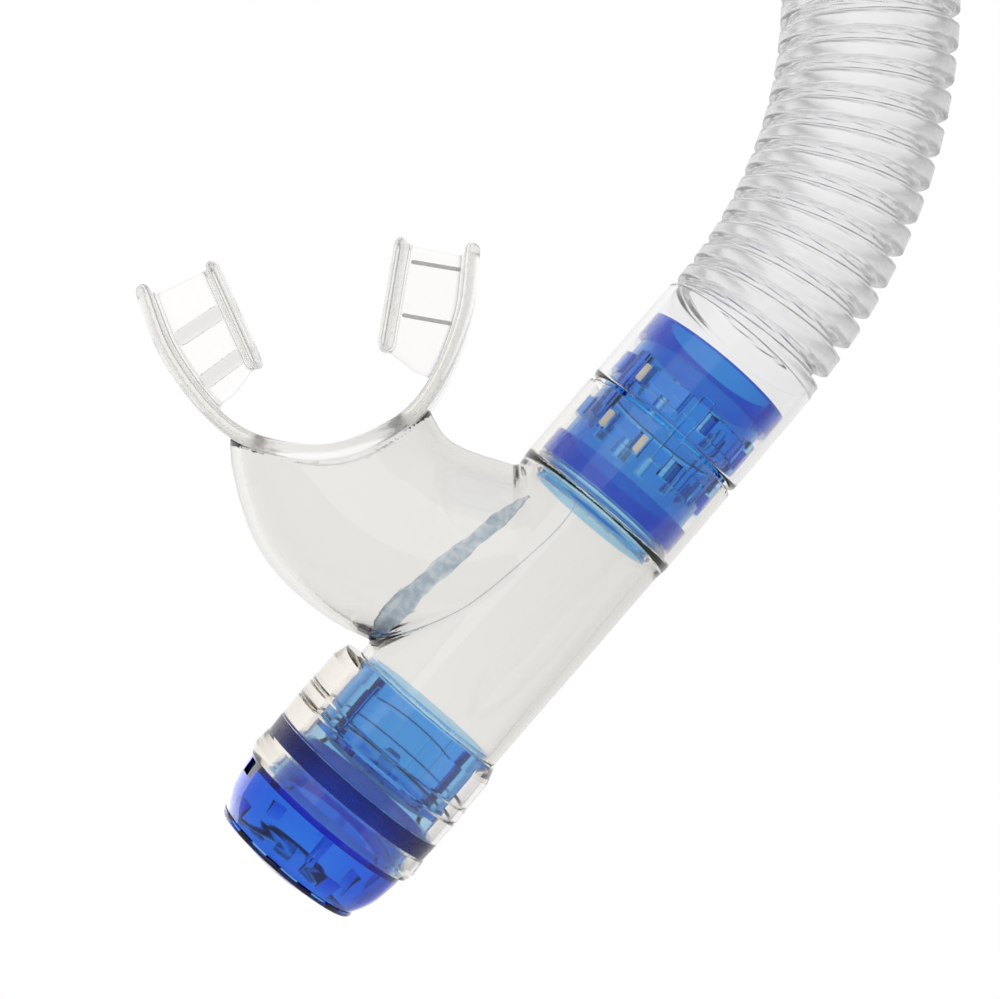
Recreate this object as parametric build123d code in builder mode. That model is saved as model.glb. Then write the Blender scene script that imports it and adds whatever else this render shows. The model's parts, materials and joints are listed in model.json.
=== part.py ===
from build123d import *
from math import cos, radians, sin
import os

os.makedirs("parts", exist_ok=True)

# ---------------------------------------------------------------- driving dimensions, mm
# Frame: the origin is the middle of the strap slot of the keeper's clip. +Z runs up the
# barrel, -X points to the diver's mouth, and XZ is the symmetry plane of the snorkel.
barrel_x = 25.0            # barrel axis, from the strap slot
barrel_radius = 11.7
barrel_bore = 9.9
barrel_bottom = -86.0
barrel_top = 100.0

# flexible hose
hose_radius = 15.9
hose_bore = 12.6
cuff_radius = 16.15
cuff_length = 23.2
cuff_pocket = 14.78        # bore of a cuff over its blue ring
pocket_depth = 16.4
bend_radius = 95.6
lean = 40.5                # angle of the lower assembly from the vertical, degrees
bend_top = -112.0          # height where the bend ends and the hose runs straight up
hose_straight = 22.0

# blue coupler between the hose and the chamber
ring_outer = 14.6
ring_relief = 13.5         # outer radius of the thin wall beside the windows
ring_inner = 12.9
ring_length = 15.6
end_band = 4.6             # length of a ring's solid end band
core_outer = 12.75
core_inner = 11.2
tab_top = 14.35
window_count = 6
window_low = 2.9           # distance of a window row from the joint
window_high = 7.3
groove_gap = 0.4           # half of the visible groove at the joint

# chamber with its branch
chamber_radius = 15.8
chamber_bore = 13.7
neck_radius = 16.15
neck_bore = 14.68          # running fit on the neck ring
neck_length = 19.0
shoulder = 17.8            # depth of the neck's bore
chamber_end = -64.0        # lower end of the chamber, from the joint
wall = 1.9

# mouthpiece, in its own plane: across, and along towards the teeth
mouth_across = -58.0       # from the joint point
mouth_rise = -4.6
mouth_tilt = 7.5
flange_thickness = 2.4
flange_half_height = 13.0
tab_half_height = 7.5

# purge valve, below the chamber
purge_shift = -1.15        # the collar's outside is eccentric by this much
collar_radius = 17.95
collar_bore = 15.2
collar_top = -64.2
collar_bottom = -88.9
gasket_top = -80.7
gasket_bottom = -84.1
seat_outer = 15.1
seat_inner = 13.5
cap_rim = -99.2

# keeper and top valve
keeper_bore = 11.78
keeper_outer = 14.4
pin_radius = 1.5
pin_x = 7.6                # pivot pin, from the strap slot
strap_gap = 4.6
strap_height = 28.0
dome_radius = 17.0
dome_wall = 1.5
base_bottom = 78.0


# ---------------------------------------------------------------- shared geometry
lower_up = Vector(sin(radians(lean)), 0, cos(radians(lean)))
lower_out = Vector(cos(radians(lean)), 0, -sin(radians(lean)))
joint_point = Vector(
    barrel_x - bend_radius * (1 - cos(radians(lean))) - cuff_length * sin(radians(lean)),
    0,
    bend_top - bend_radius * sin(radians(lean)) - cuff_length * cos(radians(lean)),
)
lower_profile = Plane(origin=joint_point, x_dir=lower_out, z_dir=(0, -1, 0))
lower_axis = Axis(joint_point, lower_up)
purge_centre = joint_point + lower_out * purge_shift
purge_profile = Plane(origin=purge_centre, x_dir=lower_out, z_dir=(0, -1, 0))
purge_axis = Axis(purge_centre, lower_up)
barrel_profile = Plane(origin=(barrel_x, 0, 0), x_dir=(1, 0, 0), z_dir=(0, -1, 0))
barrel_axis = Axis((barrel_x, 0, 0), (0, 0, 1))
upper_cuff_top = bend_top + hose_straight + cuff_length


def cross_plane(station, centre=joint_point):
    """Plane square to the lower axis; its x runs outwards, away from the mouthpiece."""
    return Plane(origin=centre + lower_up * station, x_dir=lower_out, z_dir=lower_up)


def level_plane(height):
    """Plane square to the barrel."""
    return Plane(origin=(barrel_x, 0, height), x_dir=(1, 0, 0), z_dir=(0, 0, 1))


def turned(points, plane, axis, mode=Mode.ADD):
    """Turn a closed profile of (radius, station) corners about an axis."""
    with BuildSketch(plane) as section:
        with BuildLine():
            Polyline(*points, close=True)
        make_face()
    revolve(section.sketch, axis=axis, mode=mode)


def window_row(plane, height, first_angle, width, mode):
    """Radial blocks round a ring, cut from it or added to it."""
    with BuildSketch(plane) as row:
        with PolarLocations(13.3, window_count, start_angle=first_angle):
            Rectangle(4.2, width)
    extrude(row.sketch, amount=height, mode=mode)


def raised_row(plane, height, first_angle, width):
    """Blocks that stand on the core and end on a cylinder."""
    with BuildSketch(plane) as row:
        with PolarLocations(13.3, window_count, start_angle=first_angle):
            Rectangle(4.2, width)
        Circle(tab_top, mode=Mode.INTERSECT)
        Circle(core_outer - 0.3, mode=Mode.SUBTRACT)
    extrude(row.sketch, amount=height)


# ---------------------------------------------------------------- coupler
row_height = window_high - window_low
front = -90                # the side that faces -Y, as an angle in a cross plane
upper_windows = front - 24.5
upper_tabs = front - 21.8
lower_windows = front - 25.5
lower_tabs = front - 25.0
rib_angle = front + 8.0
slot_width = 2.6
rib_width = 2.0
clip_low = -18.65          # groove for the split ring that keeps the seal on the core
clip_high = -17.35
clip_seat = 12.0

with BuildPart() as hose_ring:
    turned(
        [
            (ring_inner, groove_gap), (ring_relief, groove_gap),
            (ring_relief, ring_length - end_band), (ring_outer, ring_length - end_band),
            (ring_outer, ring_length), (ring_inner, ring_length),
        ],
        lower_profile, lower_axis,
    )
    window_row(cross_plane(window_low), row_height, upper_windows, 9.8, Mode.SUBTRACT)
    window_row(cross_plane(0), 8.6, rib_angle, slot_width, Mode.SUBTRACT)
hose_ring.part.label = "hose_ring"
export_step(hose_ring.part, "parts/hose_ring.step")

with BuildPart() as neck_ring:
    turned(
        [
            (ring_inner, -groove_gap), (ring_inner, -ring_length),
            (ring_outer, -ring_length), (ring_outer, end_band - ring_length),
            (ring_relief, end_band - ring_length), (ring_relief, -groove_gap),
        ],
        lower_profile, lower_axis,
    )
    window_row(cross_plane(-window_high), row_height, lower_windows, 9.2, Mode.SUBTRACT)
    window_row(cross_plane(-6.2), 6.2, rib_angle, slot_width, Mode.SUBTRACT)
neck_ring.part.label = "neck_ring"
export_step(neck_ring.part, "parts/neck_ring.step")

with BuildPart() as swivel_core:
    turned(
        [
            (core_inner, -19.8), (12.45, -19.8), (12.45, clip_low), (clip_seat, clip_low),
            (clip_seat, clip_high), (12.45, clip_high), (12.45, -17.2), (core_outer, -17.2),
            (core_outer, ring_length), (core_inner, ring_length),
        ],
        lower_profile, lower_axis,
    )
    raised_row(cross_plane(window_low + 0.3), row_height - 0.6, upper_tabs, 8.1)
    raised_row(cross_plane(0.3 - window_high), row_height - 0.6, lower_tabs, 5.6)
    raised_row(cross_plane(-5.8), 14.1, rib_angle, rib_width)
    # slits beside the tabs, and a groove for the split ring
    window_row(cross_plane(window_low + 0.3), row_height - 0.6, front - 42.8, 1.4, Mode.SUBTRACT)
    window_row(cross_plane(0.3 - window_high), row_height - 0.6, front - 41.2, 1.5, Mode.SUBTRACT)
    window_row(cross_plane(0.3 - window_high), row_height - 0.6, front - 9.2, 1.1, Mode.SUBTRACT)
swivel_core.part.label = "swivel_core"
export_step(swivel_core.part, "parts/swivel_core.step")

with BuildPart() as swivel_seal:
    with BuildSketch(lower_profile):
        with Locations((13.85, -16.7)):
            Circle(0.75)
    revolve(axis=lower_axis)
swivel_seal.part.label = "swivel_seal"
export_step(swivel_seal.part, "parts/swivel_seal.step")

with BuildPart() as swivel_clip:
    turned(
        [
            (clip_seat + 0.05, clip_low + 0.05), (13.3, clip_low + 0.05),
            (13.3, clip_high - 0.05), (clip_seat + 0.05, clip_high - 0.05),
        ],
        lower_profile, lower_axis,
    )
    with BuildSketch(cross_plane(-19)):
        with Locations((12.7, 0)):
            Rectangle(4, 2.4)
    extrude(amount=2, mode=Mode.SUBTRACT)
swivel_clip.part.label = "swivel_clip"
export_step(swivel_clip.part, "parts/swivel_clip.step")

# ---------------------------------------------------------------- flexible hose
bend_centre = (barrel_x - bend_radius, 0, bend_top)
bend_axis = Axis(bend_centre, (0, 1, 0))


def cuff_profile(foot, top):
    """Half section of a cuff that sits over a blue ring; foot is its open end."""
    step = 1 if top > foot else -1
    return [
        (cuff_pocket, foot), (cuff_radius - 0.7, foot), (cuff_radius, foot + 0.7 * step),
        (cuff_radius, top - 1.2 * step), (hose_radius - 0.6, top), (hose_bore, top),
        (hose_bore, foot + pocket_depth * step), (cuff_pocket, foot + pocket_depth * step),
    ]


with BuildPart() as flex_hose:
    turned(cuff_profile(groove_gap, cuff_length), lower_profile, lower_axis)
    with BuildSketch(level_plane(bend_top)) as hose_section:
        Circle(hose_radius)
        Circle(hose_bore, mode=Mode.SUBTRACT)
    revolve(hose_section.sketch, axis=bend_axis, revolution_arc=lean)
    extrude(hose_section.sketch, amount=hose_straight)
    turned(
        cuff_profile(upper_cuff_top - groove_gap, upper_cuff_top - cuff_length),
        barrel_profile, barrel_axis,
    )
flex_hose.part.label = "flex_hose"
export_step(flex_hose.part, "parts/flex_hose.step")

# ---------------------------------------------------------------- mouthpiece outline
tilt = radians(mouth_tilt)
mouth_origin = joint_point + Vector(mouth_across, 0, mouth_rise)
mouth_plane = Plane(
    origin=mouth_origin, x_dir=(cos(tilt), 0, sin(tilt)), z_dir=(0, -1, 0)
)
lip_outline = [(-30.5, 33.0), (-27.2, 21.5), (-20.7, 10.0), (-12.8, 3.0), (0.0, -0.3)]
lip_outline += [(-across, along) for across, along in reversed(lip_outline[:-1])]
lip_inner_outline = [(-28.1, 33.4), (-24.9, 22.4), (-18.8, 11.6), (-11.7, 5.3), (0.0, 2.1)]
lip_inner_outline += [(-across, along) for across, along in reversed(lip_inner_outline[:-1])]

# ---------------------------------------------------------------- chamber
# Oval stations of the branch: centre from the joint point, half width, half height, turn.
branch_stations = [
    ((-31.1, -26.7), 20.0, 14.9, 49.5),
    ((-38.7, -20.2), 20.7, 15.0, 48.8),
    ((-48.1, -16.6), 21.4, 14.8, 34.2),
    ((-54.3, -10.9), 19.8, 13.6, 22.9),
    ((-58.1, 1.9), 17.6, 12.0, 8.1),
]


def branch(shrink, mode):
    """Loft of the branch's ovals, each smaller all round by the wall."""
    sections = []
    for (across, rise), half_width, half_height, turn in branch_stations:
        angle = radians(turn)
        plane = Plane(
            origin=joint_point + Vector(across, 0, rise),
            x_dir=(cos(angle), 0, sin(angle)),
            z_dir=(-sin(angle), 0, cos(angle)),
        )
        with BuildSketch(plane) as oval:
            Ellipse(half_width - shrink, half_height - shrink)
        sections.append(oval.sketch)
    loft(sections, mode=mode)


with BuildPart() as chamber_body:
    turned(
        [
            (0, -neck_length), (neck_radius, -neck_length), (neck_radius, -1.1),
            (neck_radius - 0.7, -groove_gap), (0, -groove_gap),
        ],
        lower_profile, lower_axis,
    )
    turned(
        [
            (0, chamber_end), (chamber_radius - 0.4, chamber_end),
            (chamber_radius, chamber_end + 6), (chamber_radius, -neck_length), (0, -neck_length),
        ],
        lower_profile, lower_axis,
    )
    branch(0, Mode.ADD)
    turned(
        [
            (0, chamber_end), (chamber_bore, chamber_end), (chamber_bore, -shoulder),
            (neck_bore, -shoulder), (neck_bore, 0), (0, 0),
        ],
        lower_profile, lower_axis, Mode.SUBTRACT,
    )
    branch(wall, Mode.SUBTRACT)
    with BuildSketch(mouth_plane) as mouth_side:
        with BuildLine():
            Spline(*lip_outline)
            Polyline(lip_outline[-1], (40, 60), (-40, 60), lip_outline[0])
        make_face()
    extrude(mouth_side.sketch, amount=30, both=True, mode=Mode.SUBTRACT)
chamber_body.part.label = "chamber_body"
export_step(chamber_body.part, "parts/chamber_body.step")

# ---------------------------------------------------------------- mouthpiece
plate_high = (16.8, 36.6)
plate_low = (11.4, 18.7)
plate_width = 2.4
web_half_thickness = 1.1


def ridge(side, high, low, face):
    """Grip ridge across a bite tab, on the face that looks to -Y (face -1) or +Y."""
    with BuildSketch(mouth_plane.offset(-face * web_half_thickness)) as strip:
        with BuildLine():
            Polyline(
                (side * high[0], high[1]), (side * low[0], low[1]),
                (side * low[0], low[1] - 1.1), (side * high[0], high[1] - 1.1), close=True,
            )
        make_face()
    extrude(strip.sketch, amount=-face * 0.7)


with BuildPart() as mouthpiece:
    with BuildSketch(mouth_plane) as lip_band:
        with BuildLine():
            Spline(*lip_outline)
            Line(lip_outline[-1], lip_inner_outline[-1])
            Spline(*reversed(lip_inner_outline))
            Line(lip_inner_outline[0], lip_outline[0])
        make_face()
    extrude(lip_band.sketch, amount=flange_half_height, both=True)
    # the lip is oval when seen from the mouth
    with BuildSketch(Plane(mouth_origin, x_dir=mouth_plane.x_dir, z_dir=mouth_plane.y_dir)):
        Ellipse(33.5, flange_half_height)
    extrude(amount=60, both=True, mode=Mode.INTERSECT)
    # air passage
    with BuildSketch(Plane(mouth_origin, x_dir=mouth_plane.x_dir, z_dir=mouth_plane.y_dir)):
        Ellipse(15.4, 9.6)
    extrude(amount=30, both=True, mode=Mode.SUBTRACT)
    for side in (-1, 1):
        with BuildSketch(mouth_plane) as web:
            with BuildLine():
                Polyline(
                    (side * plate_high[0], plate_high[1] - 0.3), (side * 28.6, 32.6),
                    (side * 25.6, 22.4), (side * 19.6, 11.6),
                    (side * plate_low[0], plate_low[1] - 0.3), close=True,
                )
            make_face()
        extrude(web.sketch, amount=web_half_thickness, both=True)
        with BuildSketch(mouth_plane) as bite_plate:
            middle_across = side * (plate_high[0] + plate_low[0]) / 2
            with Locations((middle_across, (plate_high[1] + plate_low[1]) / 2)):
                SlotOverall(19.8, plate_width, rotation=90 - side * 16.8)
        extrude(bite_plate.sketch, amount=tab_half_height, both=True)
    for high, low in (((18.4, 33.5), (26.4, 30.8)), ((15.6, 24.8), (23.4, 22.2))):
        ridge(1, high, low, -1)
        ridge(-1, high, low, 1)
mouthpiece.part.label = "mouthpiece"
export_step(mouthpiece.part, "parts/mouthpiece.step")

# ---------------------------------------------------------------- purge valve
seat_end = -88.0
spigot_top = -62.9         # rim inside the chamber's end
web_top = -76.0            # the spider that carries the flap
web_bottom = -77.5
stem_radius = 1.5
stem_hole = 1.58
window_flat = 12.0         # side windows cut the sleeve back to this distance from its axis
window_span = 16.8


def seat_window(side, top, bottom):
    """A wide window in the sleeve, on the mouthpiece's side or the far side."""
    window_plane = Plane(
        origin=joint_point + lower_out * (window_flat * side) + lower_up * ((top + bottom) / 2),
        x_dir=(0, 1, 0), z_dir=lower_out * side,
    )
    with BuildSketch(window_plane) as opening:
        RectangleRounded(window_span, top - bottom, 1.4)
    extrude(opening.sketch, amount=5, mode=Mode.SUBTRACT)


with BuildPart() as purge_seat:
    turned(
        [
            (seat_inner, seat_end), (seat_outer, seat_end), (seat_outer, -64.3),
            (seat_inner, -64.3), (seat_inner, spigot_top), (12.2, spigot_top),
            (12.2, web_top), (0, web_top), (0, web_bottom), (seat_inner, web_bottom),
        ],
        lower_profile, lower_axis,
    )
    with BuildSketch(cross_plane(web_bottom - 0.5)) as spider:
        Circle(10.4)
        Circle(3.4, mode=Mode.SUBTRACT)
        with PolarLocations(7, 3):
            Rectangle(12, 1.8, mode=Mode.SUBTRACT)
    extrude(spider.sketch, amount=3, mode=Mode.SUBTRACT)
    with BuildSketch(cross_plane(web_bottom - 0.5)):
        Circle(stem_hole)
    extrude(amount=3, mode=Mode.SUBTRACT)
    for side in (-1, 1):
        seat_window(side, -65.8, gasket_top + 0.3)
        seat_window(side, gasket_bottom - 0.2, seat_end + 0.6)
    for first in range(-45, 316, 45):
        with BuildSketch(cross_plane(-74.6)) as groove:
            with PolarLocations(15.1, 1, start_angle=front + first + 10):
                Rectangle(0.7, 0.7)
        extrude(groove.sketch, amount=8.6, mode=Mode.SUBTRACT)
purge_seat.part.label = "purge_seat"
export_step(purge_seat.part, "parts/purge_seat.step")

with BuildPart() as purge_diaphragm:
    turned(
        [
            (0, -78.8), (10.2, -78.6), (11.4, -78.3), (11.4, -77.8), (stem_radius, -77.8),
            (stem_radius, -74.6), (2.3, -74.6), (1.2, -73.0), (0, -73.0),
        ],
        lower_profile, lower_axis,
    )
purge_diaphragm.part.label = "purge_diaphragm"
export_step(purge_diaphragm.part, "parts/purge_diaphragm.step")

with BuildPart() as purge_collar:
    turned(
        [
            (11, collar_bottom), (collar_radius - 0.3, collar_bottom),
            (collar_radius + 0.25, -87.2), (collar_radius, gasket_bottom - 0.4),
            (collar_radius - 0.3, gasket_bottom), (collar_radius - 1.2, gasket_bottom),
            (collar_radius - 1.2, gasket_top), (collar_radius - 0.1, gasket_top),
            (collar_radius, -76.2), (collar_radius - 0.3, -75.9), (collar_radius, -75.6),
            (collar_radius, -73.2), (collar_radius - 0.3, -72.9), (collar_radius - 0.1, -72.6),
            (collar_radius - 0.15, -67.0), (16.9, collar_top), (11, collar_top),
        ],
        purge_profile, purge_axis,
    )
    turned(
        [(0, -90), (collar_bore, -90), (collar_bore, -64), (0, -64)],
        lower_profile, lower_axis, Mode.SUBTRACT,
    )
purge_collar.part.label = "purge_collar"
export_step(purge_collar.part, "parts/purge_collar.step")

with BuildPart() as purge_gasket:
    turned(
        [
            (collar_radius - 1.15, gasket_bottom + 0.05), (collar_radius - 0.25, gasket_bottom + 0.05),
            (collar_radius - 0.1, gasket_top - 0.05), (collar_radius - 1.15, gasket_top - 0.05),
        ],
        purge_profile, purge_axis,
    )
purge_gasket.part.label = "purge_gasket"
export_step(purge_gasket.part, "parts/purge_gasket.step")

# The cap's outside leans a little further off the axis than the collar's.
cap_centre = joint_point + lower_out * (purge_shift - 0.35)
cap_profile = Plane(origin=cap_centre, x_dir=lower_out, z_dir=(0, -1, 0))
cap_axis = Axis(cap_centre, lower_up)
cap_top = -89.0
port_station = -90.7
port_size = 2.7

with BuildPart() as purge_cap:
    with BuildSketch(cap_profile) as cap_section:
        with BuildLine():
            Line((15.7, cap_top), (17.2, cap_top))
            Spline(
                (17.2, cap_top), (16.9, -92.4), (16.1, -95.9), (14.4, cap_rim),
                tangents=((0, -1), (-0.62, -1)),
            )
            Line((14.4, cap_rim), (13.0, cap_rim))
            Spline((13.0, cap_rim), (14.6, -95.0), (15.7, cap_top))
        make_face()
    revolve(cap_section.sketch, axis=cap_axis)
    # spigot inside the sleeve
    turned(
        [
            (11.9, -84.5), (13.35, -84.5), (13.35, cap_top), (13.35, cap_top - 1.2),
            (11.9, cap_top - 1.2),
        ],
        lower_profile, lower_axis,
    )
    turned(
        [(11.6, cap_top - 1.2), (16.6, cap_top - 1.2), (16.6, cap_top), (11.6, cap_top)],
        cap_profile, cap_axis,
    )
    # snap blocks near the rim and pairs of ribs up the inside
    with BuildSketch(cross_plane(-98.2, cap_centre)) as blocks:
        for angle in (-58, 32, 122, 212):
            with PolarLocations(13.9, 1, start_angle=front + angle):
                Rectangle(1.2, 3.2)
    extrude(blocks.sketch, amount=2.9)
    with BuildSketch(cross_plane(-95.6, cap_centre)) as ribs:
        for angle in (7.5, 11.5, -82, -78, 102, 98, 172.5, 168.5):
            with PolarLocations(15.05, 1, start_angle=front + angle):
                Rectangle(1.7, 0.7)
    extrude(ribs.sketch, amount=5.4)
    # water ports at the mouthpiece's side, one to the front and one to the back
    for angle in (front - 67, 67 - front):
        direction = lower_out * cos(radians(angle)) + Vector(0, sin(radians(angle)), 0)
        port_plane = Plane(
            origin=cap_centre + lower_up * port_station,
            x_dir=direction.cross(lower_up), z_dir=direction,
        )
        with BuildSketch(port_plane) as port:
            Rectangle(port_size, port_size)
        extrude(port.sketch, amount=25, mode=Mode.SUBTRACT)
purge_cap.part.label = "purge_cap"
export_step(purge_cap.part, "parts/purge_cap.step")

with BuildPart() as purge_end_plate:
    with BuildSketch(cap_profile) as plate_section:
        with BuildLine():
            Polyline((0, -100.6), (11.7, cap_rim - 0.05), (14.1, cap_rim - 0.05))
            ThreePointArc((14.1, cap_rim - 0.05), (14.6, -99.75), (14.1, -100.3))
            Spline((14.1, -100.3), (8.0, -101.6), (0, -102.1), tangents=((-1, -0.12), (-1, 0)))
            Line((0, -102.1), (0, -100.6))
        make_face()
    revolve(plate_section.sketch, axis=cap_axis)
    with BuildSketch(cross_plane(-104, cap_centre)) as notches:
        with PolarLocations(12.2, 12, start_angle=front + 6):
            Rectangle(1.5, 3.6)
    extrude(notches.sketch, amount=6, mode=Mode.SUBTRACT)
purge_end_plate.part.label = "purge_end_plate"
export_step(purge_end_plate.part, "parts/purge_end_plate.step")

# ---------------------------------------------------------------- barrel
adapter_top = upper_cuff_top + 3.4

with BuildPart() as barrel_adapter:
    turned(
        [
            (barrel_radius + 0.05, upper_cuff_top - ring_length),
            (ring_outer, upper_cuff_top - ring_length),
            (ring_outer, upper_cuff_top - ring_length + end_band),
            (ring_relief, upper_cuff_top - ring_length + end_band),
            (ring_relief, upper_cuff_top - 0.2), (cuff_radius, upper_cuff_top - 0.2),
            (cuff_radius, adapter_top - 1.4), (cuff_radius - 1.2, adapter_top),
            (barrel_radius + 0.05, adapter_top),
        ],
        barrel_profile, barrel_axis,
    )
barrel_adapter.part.label = "barrel_adapter"
export_step(barrel_adapter.part, "parts/barrel_adapter.step")

with BuildPart() as barrel_tube:
    turned(
        [
            (barrel_bore, barrel_bottom), (barrel_radius, barrel_bottom),
            (barrel_radius, barrel_top - 1), (barrel_radius - 0.8, barrel_top),
            (barrel_bore, barrel_top),
        ],
        barrel_profile, barrel_axis,
    )
barrel_tube.part.label = "barrel_tube"
export_step(barrel_tube.part, "parts/barrel_tube.step")

with BuildPart() as barrel_band:
    turned(
        [
            (barrel_radius + 0.02, 62), (barrel_radius + 1.3, 62.6),
            (barrel_radius + 1.3, 71.4), (barrel_radius + 0.02, 72),
        ],
        barrel_profile, barrel_axis,
    )
barrel_band.part.label = "barrel_band"
export_step(barrel_band.part, "parts/barrel_band.step")

# ---------------------------------------------------------------- keeper and strap clip
lug_half_width = 5.0
pin_hole = 1.55
side_plane = Plane.XZ

with BuildPart() as keeper_ring:
    turned(
        [
            (keeper_bore, -9), (keeper_outer - 0.8, -9), (keeper_outer, -8.2),
            (keeper_outer, 8.2), (keeper_outer - 0.8, 9), (keeper_bore, 9),
        ],
        barrel_profile, barrel_axis,
    )
    with BuildSketch(side_plane) as lug:
        with BuildLine():
            Polyline(
                (pin_x, -3.2), (pin_x + 5.6, -7), (pin_x + 5.6, 7), (pin_x, 3.2),
            )
            ThreePointArc((pin_x, 3.2), (pin_x - 3.2, 0), (pin_x, -3.2))
        make_face()
        with Locations((pin_x, 0)):
            Circle(pin_hole, mode=Mode.SUBTRACT)
    extrude(lug.sketch, amount=lug_half_width, both=True)
    with BuildSketch(level_plane(-10)):
        Circle(keeper_bore)
    extrude(amount=20, mode=Mode.SUBTRACT)
keeper_ring.part.label = "keeper_ring"
export_step(keeper_ring.part, "parts/keeper_ring.step")

with BuildPart() as clip_pin:
    with BuildSketch(side_plane.offset(-8.6)):
        with Locations((pin_x, 0)):
            Circle(pin_radius)
    extrude(amount=17.2)
    chamfer(clip_pin.edges().filter_by(GeomType.CIRCLE), 0.3)
clip_pin.part.label = "clip_pin"
export_step(clip_pin.part, "parts/clip_pin.step")

clip_wall = 1.9
clip_height = strap_height + 2 * 2.6
clip_half_width = 9.0

with BuildPart() as strap_clip:
    with BuildSketch(side_plane) as loop:
        RectangleRounded(strap_gap + 2 * clip_wall, clip_height, 1.8)
        RectangleRounded(strap_gap, strap_height, 1.2, mode=Mode.SUBTRACT)
    extrude(loop.sketch, amount=clip_half_width, both=True)
    for ear_side in (-1, 1):
        with BuildSketch(side_plane.offset(ear_side * (lug_half_width + 0.4))) as ear:
            with BuildLine():
                Polyline((strap_gap / 2 + 1, 6.5), (pin_x, 3.4))
                ThreePointArc((pin_x, 3.4), (pin_x + 3.4, 0), (pin_x, -3.4))
                Polyline((pin_x, -3.4), (strap_gap / 2 + 1, -6.5), (strap_gap / 2 + 1, 6.5))
            make_face()
            with Locations((pin_x, 0)):
                Circle(pin_radius, mode=Mode.SUBTRACT)
        extrude(ear.sketch, amount=ear_side * 2.8)
strap_clip.part.label = "strap_clip"
export_step(strap_clip.part, "parts/strap_clip.step")

# ---------------------------------------------------------------- top valve
float_low = 84.5
float_high = 94.0
float_travel = 5.0
seat_height = float_high + 1.6 + float_travel

with BuildPart() as top_base:
    turned(
        [
            (barrel_radius + 0.05, base_bottom), (14.2, base_bottom),
            (dome_radius - dome_wall, 79.4), (dome_radius - dome_wall, 83.6),
            (barrel_radius + 0.05, 83.6),
        ],
        barrel_profile, barrel_axis,
    )
    with BuildSketch(level_plane(base_bottom - 1)) as ports:
        with PolarLocations(13.6, 6):
            Rectangle(2.4, 5.6)
    extrude(ports.sketch, amount=10, mode=Mode.SUBTRACT)
top_base.part.label = "top_base"
export_step(top_base.part, "parts/top_base.step")

with BuildPart() as float_ring:
    turned(
        [(12.2, float_low), (14.6, float_low), (14.6, float_high), (12.2, float_high)],
        barrel_profile, barrel_axis,
    )
float_ring.part.label = "float_ring"
export_step(float_ring.part, "parts/float_ring.step")

with BuildPart() as float_seal:
    turned(
        [
            (12.3, float_high), (14.5, float_high), (14.5, float_high + 0.7),
            (13.9, float_high + 1.2), (12.9, float_high + 1.2), (12.3, float_high + 0.7),
        ],
        barrel_profile, barrel_axis,
    )
float_seal.part.label = "float_seal"
export_step(float_seal.part, "parts/float_seal.step")

with BuildPart() as top_seat:
    turned(
        [
            (12.7, seat_height), (dome_radius - dome_wall, seat_height),
            (dome_radius - dome_wall, seat_height + 2.2), (13.4, seat_height + 2.2),
        ],
        barrel_profile, barrel_axis,
    )
top_seat.part.label = "top_seat"
export_step(top_seat.part, "parts/top_seat.step")

dome_low = 79.4
dome_shoulder = 106.0
dome_top = 116.0
with BuildPart() as top_cap:
    with BuildSketch(barrel_profile) as dome_section:
        with BuildLine():
            Line((dome_radius - dome_wall, dome_low), (dome_radius, dome_low))
            Line((dome_radius, dome_low), (dome_radius, dome_shoulder))
            Spline(
                (dome_radius, dome_shoulder), (12.6, 113.6), (0, dome_top),
                tangents=((0, 1), (-1, 0)),
            )
            Line((0, dome_top), (0, dome_top - dome_wall))
            Spline(
                (0, dome_top - dome_wall), (11.6, 112.2), (dome_radius - dome_wall, dome_shoulder),
                tangents=((1, 0), (0, -1)),
            )
            Line(
                (dome_radius - dome_wall, dome_shoulder), (dome_radius - dome_wall, dome_low)
            )
        make_face()
    revolve(dome_section.sketch, axis=barrel_axis)
    with BuildSketch(level_plane(86)) as side_ports:
        with PolarLocations(dome_radius, 10, start_angle=18):
            Rectangle(6, 3.2)
    extrude(side_ports.sketch, amount=6.5, mode=Mode.SUBTRACT)
top_cap.part.label = "top_cap"
export_step(top_cap.part, "parts/top_cap.step")

screw_height = 81.6
with BuildPart() as top_screws:
    for index in range(3):
        direction = Vector(cos(radians(90 + 120 * index)), sin(radians(90 + 120 * index)), 0)
        screw_plane = Plane(
            origin=Vector(barrel_x, 0, screw_height) + direction * dome_radius,
            z_dir=direction,
        )
        with BuildSketch(screw_plane):
            Circle(1.7)
        extrude(amount=0.8)
top_screws.part.label = "top_screws"
export_step(top_screws.part, "parts/top_screws.step")
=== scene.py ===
import json
import math

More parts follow.
